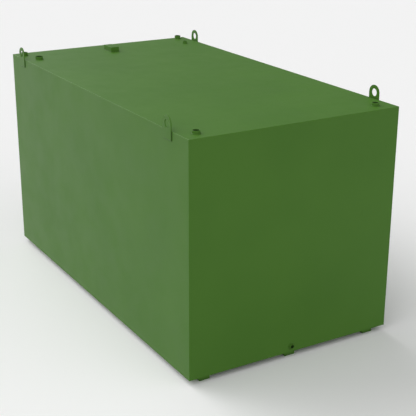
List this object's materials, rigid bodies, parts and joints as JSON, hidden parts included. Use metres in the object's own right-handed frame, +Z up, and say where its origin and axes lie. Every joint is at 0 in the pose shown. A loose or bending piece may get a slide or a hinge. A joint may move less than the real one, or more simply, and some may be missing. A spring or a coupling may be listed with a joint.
{
  "type": "bunded oil tank",
  "caption": "Rectangular steel oil tank inside a closed steel bund on three channel feet, with lifting lugs, roof sockets, an inspection box and a low drain socket.",
  "frame": {"origin": "on the floor under the middle of the box, on the underside of the middle foot", "axes": "+X along the length, towards the end with the drain socket; +Z up; +Y towards the right side as seen when facing that end"},
  "size_m": [2.295, 1.26, 1.355],
  "materials": {
    "green_paint": "satin green enamel",
    "inner_steel": "bare mild steel, unpainted"
  },
  "bodies": {
    "root": {"bund_base": "green_paint", "bund_roof": "green_paint", "bund_side_left": "green_paint", "bund_side_right": "green_paint", "bund_end_rear": "green_paint", "bund_end_front": "green_paint", "foot_left": "green_paint", "foot_middle": "green_paint", "foot_right": "green_paint", "lug_rear_left": "green_paint", "lug_rear_right": "green_paint", "lug_front_left": "green_paint", "lug_front_right": "green_paint", "socket_front_left": "green_paint", "socket_front_right": "green_paint", "socket_rear_right": "green_paint", "bund_socket": "green_paint", "large_socket": "green_paint", "small_socket": "green_paint", "drain_socket": "green_paint", "inspection_box": "green_paint", "inspection_box_lid": "green_paint", "bearer_rear": "inner_steel", "bearer_middle": "inner_steel", "bearer_front": "inner_steel", "tank_necks": "inner_steel", "tank_base": "inner_steel", "tank_top": "inner_steel", "tank_side_left": "inner_steel", "tank_side_right": "inner_steel", "tank_end_rear": "inner_steel", "tank_end_front": "inner_steel"}
  },
  "joints": []
}
